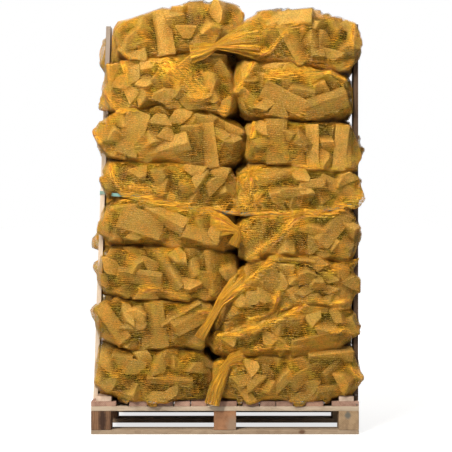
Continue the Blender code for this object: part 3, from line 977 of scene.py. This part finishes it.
# Corners of a net that a log pulls out to a point: the place, and how wide the point is
TIPS = {
    "front_left_8": ((-0.506, -0.350, 1.818, 0.050),),
    "front_left_7": ((0.000, -0.400, 1.417, 0.028), (-0.590, -0.330, 1.470, 0.028)),
    "front_left_6": ((-0.606, -0.330, 1.364, 0.030),),
    "front_left_5": ((0.067, -0.425, 0.985, 0.050),),
    "front_right_6": ((0.622, -0.385, 1.240, 0.028),),
    "front_right_5": ((0.632, -0.385, 1.068, 0.028), (0.040, -0.424, 0.990, 0.045)),
    "front_right_3": ((0.606, -0.385, 0.790, 0.028),),
    "front_right_1": ((0.636, -0.385, 0.253, 0.028),),
    "middle_left_5": ((-0.520, -0.105, 1.187, 0.045), (-0.520, -0.105, 0.996, 0.045)),
    "middle_left_4": ((-0.632, -0.040, 0.830, 0.060), (-0.520, -0.108, 1.004, 0.045)),
    "middle_left_3": ((-0.628, -0.040, 0.745, 0.050),),
    "middle_left_2": ((-0.632, -0.040, 0.545, 0.060), (-0.552, 0.020, 0.632, 0.045)),
    "middle_right_7": ((0.572, 0.020, 1.601, 0.045),),
    "middle_right_2": ((0.580, 0.020, 0.592, 0.045),),
    "middle_right_1": ((0.580, 0.020, 0.412, 0.045),),
}
# How far the net of the layer above the strap comes down over it, and of the layer below comes up
STRAP_LAYERS = {"5": -0.040, "4": 0.016}
STRAP_HIDDEN_FROM = -0.49
STRAP_COVER_REACH = 0.075
STRAP_COVER_FROM = -0.365
STRAP_COVER_FRONT = -0.422
STRAP_FOLD_WIDTH = 0.020
STRAP_FADE = 0.03
DECK_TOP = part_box("deck_board_01")[1].z
SAG_REACH = 0.080
SAG_DEPTH = 0.020
SAG_EDGE = 0.006
POST_ROOM = 0.003
POST_BULGE = 1.2
# Painted shade deep in the joints between sacks: where it starts, how far in it grows, how near the top
# and bottom it lies, and how dark it paints the net.
JOINT_START = 0.024
JOINT_REACH = 0.028
JOINT_BAND = 0.030
JOINT_DARK = 0.92
KNOT_REACH = 0.06
KNOT_FOLDS = 13
KNOT_HOLLOW = 0.03
FOLD_HEIGHT = 0.006
BAND_HEIGHT = 1.6
SEAM_WIDTH = 0.0078
SEAM_LEAN = 0.04
FACE_DEPTH = 0.10
FACE_FADE = 0.04
END_DEPTH = 0.06
END_FADE = 0.03
PUCKER_DEPTH = 0.03
PUCKER = 0.35
UNDERSIDE_GATHER = 0.5
NEAR_END = 0.08
NEAR_END_FADE = 0.05
# Painted shade of the logs: it starts this far under the net and is full this much deeper.
SHADE_START = 0.008
SHADE_REACH = 0.030

strap_corners = np.array([vertex.co for vertex in nodes["strap"].data.vertices])
strap_front = strap_corners[(strap_corners[:, 1] < -0.38) & (np.abs(strap_corners[:, 0]) < 0.53)]
strap_line = np.polynomial.Polynomial.fit(strap_front[:, 0], strap_front[:, 2], 6)


def pull_tip(points, tip):
    """Draws the net out to a point beyond its nearest place."""
    place, width = np.array(tip[:3]), tip[3]
    base = points[np.argmin(np.linalg.norm(points - place, axis=1))].copy()
    share = np.exp(-(np.linalg.norm(points - base, axis=1) / width) ** 2)
    points += share[:, None] * (place - base)


def add_values(mesh, name, kind, values):
    field = "value" if kind == "FLOAT" else "vector"
    mesh.attributes.new(name, kind, "POINT")
    mesh.attributes[name].data.foreach_set(field, values.ravel())


def nearest_on_line(places, line):
    """How far each 2-D place is from a line of points, and how far along it."""
    best = np.full(len(places), 9.0)
    along = np.zeros(len(places))
    passed = 0.0
    for start, end in zip(line[:-1], line[1:]):
        start = np.array(start)
        step = np.array(end) - start
        length = np.linalg.norm(step)
        share = np.clip((places - start) @ step / length ** 2, 0, 1)
        away = np.linalg.norm(places - start - share[:, None] * step, axis=1)
        along = np.where(away < best, passed + share * length, along)
        best = np.minimum(best, away)
        passed += length
    return best, along


def knot_folds(places, mask, knot):
    """Folds that run out from a point: how strong, how high, and a place that runs across them."""
    offset = places - np.array(knot)
    away = np.linalg.norm(offset, axis=1)
    strength = np.exp(-((away / KNOT_REACH) ** 2)) * mask
    angle = np.arctan2(offset[:, 1], offset[:, 0])
    wave = np.sin(angle * KNOT_FOLDS + 2 * np.sin(angle * 3 + away * 30))
    rise = strength * (0.6 + 0.4 * wave) * FOLD_HEIGHT * ramp(away, KNOT_HOLLOW)
    unit = offset / (away[:, None] + 1e-6)
    return strength, rise, np.column_stack([unit * 2.0, away * 9.0])


def band_folds(places, mask, width, rise, line):
    """The same for folds that run along a line."""
    away, along = nearest_on_line(places, line)
    strength = np.exp(-((away / width) ** 2)) * mask
    place = np.column_stack([away * 50.0, along * 5.0, along * 0 + 5.0])
    return strength, strength * FOLD_HEIGHT * BAND_HEIGHT * rise, place


def hides_strap(points):
    return ramp(points[:, 0] - STRAP_HIDDEN_FROM, STRAP_FADE)


def fold_net(name, points, normals, low, high, row, outward):
    """Raises the folds. Returns how bunched each point is, and a place that runs across folds."""
    gather = np.zeros(len(points))
    fold_place = np.zeros((len(points), 3))
    height = np.zeros(len(points))
    middle = (low + high) / 2
    flat = points[:, [0, 2]]
    at_front = ramp(low[1] + FACE_DEPTH - points[:, 1], FACE_FADE)
    folds = [knot_folds(flat, at_front, knot) for knot in FRONT_KNOTS.get(name, ())]
    bands = [band_folds(flat, at_front, *band) for band in FRONT_BANDS.get(name, ())]
    at_end = ramp(END_DEPTH - np.abs(points[:, 0] - (high[0] if outward > 0 else low[0])), END_FADE)
    lean = seed_numbers.uniform(-SEAM_LEAN, SEAM_LEAN)
    seam = ((middle[1] - lean, low[2]), (middle[1] + lean, high[2]))
    bands.append(band_folds(points[:, [1, 2]], at_end, SEAM_WIDTH, 1.0, seam))
    if row == "back":
        at_back = ramp(points[:, 1] - high[1] + FACE_DEPTH, FACE_FADE)
        inner = middle[0] - outward * ((high[0] - low[0]) / 2 - seed_numbers.uniform(0.01, 0.05))
        knot = (inner, middle[2] + seed_numbers.uniform(-0.05, 0.05))
        folds.append(knot_folds(flat, at_back, knot))
    for strength, rise, place in folds + bands:
        height = np.maximum(height, rise)
        fold_place = np.where((strength > gather)[:, None], place, fold_place)
        gather = np.maximum(gather, strength)
    under = ramp(-normals[:, 2] - 0.2, 0.5) * UNDERSIDE_GATHER
    if row == "front" and name[-1] in STRAP_LAYERS:
        away = np.abs(points[:, 2] - strap_line(points[:, 0])) / STRAP_FOLD_WIDTH
        under = np.maximum(under, np.exp(-away ** 2) * at_front * hides_strap(points))
    along_sack = np.column_stack([points[:, 0] * 5, points[:, 1] * 30, points[:, 2] * 45])
    fold_place = np.where((under > gather)[:, None], along_sack, fold_place)
    gather = np.maximum(gather, under)
    gather[points[:, 2] < DECK_TOP] = 1.0
    points += normals * height[:, None]
    return gather, fold_place


def hang_over_strap(points, layer):
    """The nets above and below the strap meet in front of it, except beside the left post."""
    if layer not in STRAP_LAYERS:
        return
    away = points[:, 2] - strap_line(points[:, 0])
    near = np.clip(1 - np.abs(away) / STRAP_COVER_REACH, 0, 1)
    share = near * ramp(STRAP_COVER_FROM - points[:, 1], STRAP_FADE) * hides_strap(points)
    points[:, 2] += share * STRAP_LAYERS[layer]
    points[:, 1] -= share * np.maximum(points[:, 1] - STRAP_COVER_FRONT, 0)


def shade_joints(points, low, high, row):
    """How deep each point lies between this sack and the one above or below, for the painted shade that
    darkens the net there.
    """
    if row == "middle":
        return np.zeros(len(points))
    depth = points[:, 1] - low[1] if row == "front" else high[1] - points[:, 1]
    edge = np.abs(points[:, 2] - (low[2] + high[2]) / 2) - (high[2] - low[2]) / 2 + JOINT_BAND
    return ramp(depth - JOINT_START, JOINT_REACH) * ramp(edge, JOINT_BAND) * JOINT_DARK


def sag_between_boards(points):
    """The lowest nets hang into the gaps between the deck boards."""
    gap = np.ones(len(points))
    for name in nodes:
        if name.startswith("deck_board_"):
            low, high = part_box(name)
            beside = np.maximum(low.x - points[:, 0], points[:, 0] - high.x)
            gap = np.minimum(gap, ramp(beside, SAG_EDGE))
    bottom = ramp(DECK_TOP + SAG_REACH - points[:, 2], SAG_REACH)
    points[:, 2] -= SAG_DEPTH * gap * bottom


def keep_off_posts(points):
    """Loads bulge on either side of a corner board and in front of it, but not through it."""
    for name in nodes:
        if not name.startswith("post_"):
            continue
        corners = read_vectors(nodes[name].data.vertices, "co")
        side = np.sign(corners[:, 0].mean())
        upper = corners[:, 2] > corners[:, 2].mean()
        ends = (corners[~upper, 2].min(), corners[upper, 2].max())
        faces = ((corners[~upper, 0] * side).min(), (corners[upper, 0] * side).min())
        beside = np.maximum(corners[:, 1].min() - points[:, 1], points[:, 1] - corners[:, 1].max())
        bulge = np.maximum(beside - POST_ROOM, 0) * POST_BULGE
        inner = np.interp(points[:, 2], ends, faces) - POST_ROOM + bulge
        beyond = (points[:, 0] * side > inner) & (points[:, 2] < ends[1] + POST_ROOM)
        points[beyond, 0] = side * inner[beyond]


def paint_depth_shade(logs, net):
    """Marks how deep under the net each corner of a log lies, for painted shade: 0 at the net, 1 well
    inside.
    """
    skin = BVHTree.FromObject(net, bpy.context.evaluated_depsgraph_get())
    depths = np.array([skin.find_nearest(vertex.co)[3] for vertex in logs.data.vertices])
    add_values(logs.data, "buried", "FLOAT", ramp(depths - SHADE_START, SHADE_REACH))


def dress_sack(volume, node, row, outward):
    """Fills one sack's volume with logs and turns the volume into the net over them."""
    corners = read_vectors(volume.data.vertices, "co")
    low, high = corners.min(0), corners.max(0)
    logs, placed = fill_sack(volume, low, high)
    log_points = read_vectors(logs.data.vertices, "co")
    keep_off_posts(log_points)
    logs.data.vertices.foreach_set("co", log_points.ravel())
    cell = SKIN_CELL[row]
    skin_from(volume, cell)
    mesh = volume.data
    points = read_vectors(mesh.vertices, "co")
    edges = read_indices(mesh.edges, "vertices", 2).reshape(-1, 2)
    outward_normals = read_vectors(mesh.vertex_normals, "vector")
    inner_x = low[0] if outward > 0 else high[0]
    near_end = ramp(NEAR_END - np.abs(points[:, 0] - inner_x), NEAR_END_FADE)
    points += outward_normals * (BODY_GROWTH + (END_GROWTH - BODY_GROWTH) * near_end)[:, None]
    slack = BODY_SLACK + (END_SLACK - BODY_SLACK) * near_end
    shrink(points, edges, placed, cell * 0.5, outward_normals, slack)
    if row == "front":
        hang_over_strap(points, volume.name[-1])
    if volume.name.endswith("_1"):
        sag_between_boards(points)
    for tip in TIPS.get(volume.name, ()):
        pull_tip(points, tip)
    mesh.vertices.foreach_set("co", points.ravel())
    mesh.update()
    normals = read_vectors(mesh.vertex_normals, "vector")
    gather, fold_place = fold_net(volume.name, points, normals, low, high, row, outward)
    keep_off_posts(points)
    mesh.vertices.foreach_set("co", points.ravel())
    lay_out_net(mesh, points, low, high, -1.0 if row == "back" else 1.0)
    from_end = np.minimum(points[:, 0] - low[0], high[0] - points[:, 0])
    ends = ramp(PUCKER_DEPTH - from_end, PUCKER_DEPTH)
    add_values(mesh, "gather", "FLOAT", np.maximum(gather, ends * PUCKER))
    add_values(mesh, "fold_place", "FLOAT_VECTOR", fold_place)
    add_values(mesh, "joint", "FLOAT", shade_joints(points, low, high, row))
    mesh.update()
    paint_depth_shade(logs, volume)
    choose_only(volume)
    bpy.ops.object.shade_smooth()
    if volume.name in NECKS:
        neck = make_neck(volume.name, NECKS[volume.name])
        choose_only(volume, neck)
        bpy.ops.object.join()
    volume.name = f"net_{volume.name}"
    return logs, volume


# %% [markdown]
# ## The knitted net
#
# A firewood net is knitted from flat orange tape: chains run along the sack, and tapes zigzag
# between them and leave holes of a few millimetres. Real threads would be millions of faces.
# The pattern is instead worked out from the layout along and round the sack, and the holes are
# see-through. Where the net bunches up, the tapes close and their colour deepens to orange.

# %% Node group: tapes and holes of the knit
def make_knit_group():
    group, given = new_group(
        "knit",
        {
            "Layout": ("Vector", None),
            "Bunching": ("Float", 0.0),
            "Stitch": ("Float", 0.010),
            "Tape": ("Float", 0.11),
        },
        {"Cover": "Float", "Height": "Float", "Slack": "Float"},
    )
    parts = add_node(group, "ShaderNodeSeparateXYZ", {0: given["Layout"]}).outputs
    drift = noise(group, given["Layout"], 22.0, 3.0)
    uneven = noise(group, given["Layout"], 80.0, 3.0)
    wale = math_node(group, "DIVIDE", parts[1], given["Stitch"])
    wale = add(group, wale, multiply(group, drift, 3.4))
    wale = add(group, wale, multiply(group, uneven, 0.5))
    course = math_node(group, "DIVIDE", parts[0], multiply(group, given["Stitch"], 1.2))
    course = add(group, course, multiply(group, uneven, 0.9))
    zigzag = multiply(group, math_node(group, "PINGPONG", course, 0.5), 2.0)
    width = add(group, given["Tape"], multiply(group, given["Bunching"], 0.36))
    width = multiply(group, width, spread(group, uneven, 0.3, 0.7, 0.6, 1.35))
    edge = multiply(group, width, 0.5)
    strands = []
    for place in (wale, add(group, wale, zigzag), math_node(group, "SUBTRACT", wale, zigzag)):
        away = math_node(group, "SUBTRACT", math_node(group, "FRACT", place), 0.5)
        inner = math_node(group, "SUBTRACT", width, math_node(group, "ABSOLUTE", away))
        strands.append(math_node(group, "DIVIDE", inner, edge))
    tallest = math_node(group, "MAXIMUM", strands[0], strands[1])
    tallest = math_node(group, "MAXIMUM", tallest, strands[2])
    cover = spread(group, tallest, 0.0, 0.6)
    return finish_group(group, {"Cover": cover, "Height": tallest, "Slack": drift})


knit_group = make_knit_group()


# %% Material: orange net
STITCH = 0.0090
TAPE = 0.074


def make_net_material():
    material, tree, shader = new_material("orange_net", 0.36, 0.6)
    layout = add_node(tree, "ShaderNodeUVMap", uv_map="net").outputs[0]
    gather = attribute(tree, "gather")
    fold_place = attribute(tree, "fold_place", "Vector")
    folds = spread(tree, noise(tree, fold_place, 2.2, 2.0), 0.35, 0.65)
    bunched = multiply(tree, gather, spread(tree, folds, 0.0, 1.0, 0.25, 1.0))
    patches = noise(tree, object_place(tree), 9.0, 2.0)
    bunched = add(tree, bunched, spread(tree, patches, 0.5, 0.72, 0.0, 0.22))
    inputs = {"Layout": layout, "Bunching": bunched, "Stitch": STITCH, "Tape": TAPE}
    knit = add_node(tree, "ShaderNodeGroup", inputs, node_tree=knit_group).outputs
    slack = spread(tree, knit["Slack"], 0.35, 0.65)
    thin = mix_colours(tree, slack, (0.90, 0.370, 0.010, 1), (0.62, 0.40, 0.020, 1))
    # Painted highlights: pale specks of glint are mixed into the tape colour, fewer where the net
    # bunches.
    painted_glints = spread(tree, noise(tree, layout, 170.0, 1.0), 0.52, 0.68)
    painted_glint_share = multiply(tree, painted_glints, spread(tree, patches, 0.55, 0.40, 0.15, 1.0))
    thin = mix_colours(tree, painted_glint_share, thin, (0.93, 0.66, 0.19, 1))
    streaks = spread(tree, noise(tree, fold_place, 5.0, 3.0, Roughness=0.7), 0.36, 0.60)
    # Bunched net is deep orange, with painted shade in the grooves of its folds where the streaks run
    # low.
    bunched_with_painted_grooves = mix_colours(tree, streaks, (0.52, 0.15, 0.004, 1), (1.0, 0.50, 0.022, 1))
    colour = mix_colours(tree, spread(tree, bunched, 0.1, 0.8), thin, bunched_with_painted_grooves)
    # Painted shade: deep in the joints between sacks the net is darkened almost to black.
    colour = mix_colours(tree, attribute(tree, "joint"), colour, (0.030, 0.010, 0.002, 1))
    raised = add(tree, multiply(tree, knit["Height"], 0.3), multiply(tree, streaks, gather))
    fill_inputs(tree, shader, {
        "Base Color": colour,
        "Alpha": knit["Cover"],
        "Normal": bump(tree, raised, 0.9, 0.004),
    })
    return material


net_material = make_net_material()
print("net stitches of", STITCH * 1000, "mm")

# %% [markdown]
# ## Tied necks that show
#
# Four of the front sacks have their tied end pulled out over the sack beside it: a fan of net
# narrows to the knot, pleated so tightly that no logs are in it, and spreads again in a tail. A
# round bar with open ends is bent along the neck's route, flattened against the load and
# pleated, and then joined to the net that it belongs to. The wide end starts inside the sack.

# %% Pleated necks
NECK_SIDES = 96
NECK_RINGS = 26
NECK_FLATNESS = 0.34
# Folds round the neck, and their share of its width
NECK_PLEATS = ((7, 0.070), (12, 0.075), (19, 0.055), (27, 0.030))
NECKS = {
    # route as X, Y, Z in metres, with the half width there
    "front_right_8": (
        (0.215, -0.330, 1.770, 0.070), (0.150, -0.400, 1.770, 0.084), (0.100, -0.420, 1.766, 0.070),
        (0.045, -0.433, 1.755, 0.047), (-0.010, -0.440, 1.742, 0.026), (-0.042, -0.444, 1.733, 0.013),
        (-0.075, -0.440, 1.722, 0.026), (-0.115, -0.432, 1.712, 0.036), (-0.155, -0.420, 1.706, 0.040),
    ),
    "front_left_4": (
        (-0.085, -0.350, 0.938, 0.050), (-0.040, -0.412, 0.934, 0.055), (0.000, -0.428, 0.928, 0.040),
        (0.036, -0.438, 0.918, 0.020), (0.058, -0.442, 0.908, 0.012), (0.052, -0.440, 0.880, 0.019),
        (0.036, -0.432, 0.846, 0.024),
    ),
    "front_right_3": (
        (0.120, -0.340, 0.715, 0.050), (0.080, -0.400, 0.682, 0.054), (0.028, -0.420, 0.638, 0.038),
        (-0.015, -0.434, 0.598, 0.024), (-0.040, -0.440, 0.555, 0.017), (-0.072, -0.440, 0.500, 0.017),
        (-0.100, -0.436, 0.455, 0.020), (-0.112, -0.430, 0.432, 0.022),
    ),
    "front_right_1": (
        (0.115, -0.340, 0.348, 0.044), (0.078, -0.405, 0.345, 0.046), (0.040, -0.427, 0.338, 0.032),
        (0.010, -0.440, 0.318, 0.016), (-0.012, -0.442, 0.272, 0.023), (-0.038, -0.441, 0.215, 0.031),
        (-0.058, -0.434, 0.138, 0.031),
    ),
}


def make_neck(name, route):
    """Bends a bar with open ends along a route, flattens it, and pleats it round."""
    bpy.ops.object.select_all(action="DESELECT")
    bpy.ops.mesh.primitive_cylinder_add(
        vertices=NECK_SIDES, radius=1, depth=1, end_fill_type="NOTHING", location=(0, 0, 0.5)
    )
    neck = bpy.context.object
    neck.name = f"neck_{name}"
    bpy.ops.object.transform_apply(location=True)
    bpy.ops.object.mode_set(mode="EDIT")
    for ring in range(1, NECK_RINGS):
        cut((0, 0, ring / NECK_RINGS), (0, 0, 1), keep_both=True)
    bpy.ops.object.mode_set(mode="OBJECT")
    mesh = neck.data
    points = read_vectors(mesh.vertices, "co")
    angle = np.arctan2(points[:, 1], points[:, 0])
    share = points[:, 2].copy()
    route = np.array(route)
    stations = np.linspace(0, 1, len(route))

    def place_at(shares):
        return np.column_stack([np.interp(shares, stations, route[:, axis]) for axis in range(3)])

    place = place_at(share)
    step = place_at(np.clip(share + 0.02, 0, 1)) - place_at(np.clip(share - 0.02, 0, 1))
    across = np.column_stack([-step[:, 2], 0 * share, step[:, 0]])
    across /= np.linalg.norm(across, axis=1)[:, None]
    width = np.interp(share, stations, route[:, 3])
    pleats = np.ones(len(points))
    for count, depth in NECK_PLEATS:
        start = seed_numbers.uniform(0, 2 * math.pi)
        drift = seed_numbers.uniform(0.5, 1.5) * np.sin(seed_numbers.uniform(2, 5) * share + start)
        pleats += depth * np.cos(count * angle + start + drift)
    radius = width * pleats
    points = place + across * (np.cos(angle) * radius)[:, None]
    points[:, 1] -= np.sin(angle) * radius * NECK_FLATNESS
    mesh.vertices.foreach_set("co", points.ravel())
    mesh.update()
    add_values(mesh, "gather", "FLOAT", np.interp(width, (0.015, 0.030, 0.085), (1.0, 0.75, 0.35)))
    round_place = np.column_stack([np.cos(angle) * 1.6, np.sin(angle) * 1.6, share * 0.7])
    add_values(mesh, "fold_place", "FLOAT_VECTOR", round_place)
    add_values(mesh, "joint", "FLOAT", share * 0)
    layout = np.column_stack([share * 0.3, np.abs(angle) * 0.08])
    corner_vertex = read_indices(mesh.loops, "vertex_index")
    mesh.uv_layers.new(name="net").data.foreach_set("uv", layout[corner_vertex].ravel())
    choose_only(neck)
    bpy.ops.object.shade_smooth()
    return neck


# %% Dress every sack
dressed = [dress_sack(*sack) + sack[1:] for sack in sack_volumes]
for logs, net, node, row, outward in dressed:
    use_material(net, net_material)
    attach(logs, "root")
    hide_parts(node)
    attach(net, "root")
    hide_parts(node)
for log, *_ in log_forms:
    bpy.data.objects.remove(log, do_unlink=True)


def count_triangles(obj):
    return sum(len(face.vertices) - 2 for face in obj.data.polygons)


log_counts = [count_triangles(logs) for logs, *_ in dressed]
net_counts = [count_triangles(net) for _, net, *_ in dressed]
print("triangles:", sum(log_counts), "in logs,", sum(net_counts), "in nets")
print("largest piece:", max(log_counts + net_counts))

# %% [markdown]
# ## Strap
#
# A flat green strap runs round the posts and the load, in a joint between two layers.

# %% Material: strap
RIB_SCALE = (6.0, 6.0, 900.0)
strap_material, strap_tree, strap_shader = new_material("green_strap", 0.4, 0.5)
strap_place = object_place(strap_tree)
strap_ribs = noise(strap_tree, vector_math(strap_tree, "MULTIPLY", strap_place, RIB_SCALE), 1.0, 2.0)
strap_dust = noise(strap_tree, strap_place, 26.0, 4.0)
dusty = spread(strap_tree, strap_dust, 0.5, 0.75, 0.0, 0.6)
strap_colour = mix_colours(strap_tree, strap_ribs, (0.10, 0.24, 0.22, 1), (0.19, 0.36, 0.33, 1))
fill_inputs(strap_tree, strap_shader, {
    "Base Color": mix_colours(strap_tree, dusty, strap_colour, (0.46, 0.44, 0.36, 1)),
    "Roughness": spread(strap_tree, strap_dust, 0.4, 0.7, 0.32, 0.6),
    "Normal": bump(strap_tree, strap_ribs, 0.4, 0.0006),
})
use_material(nodes["strap"], strap_material)
print("strap set")
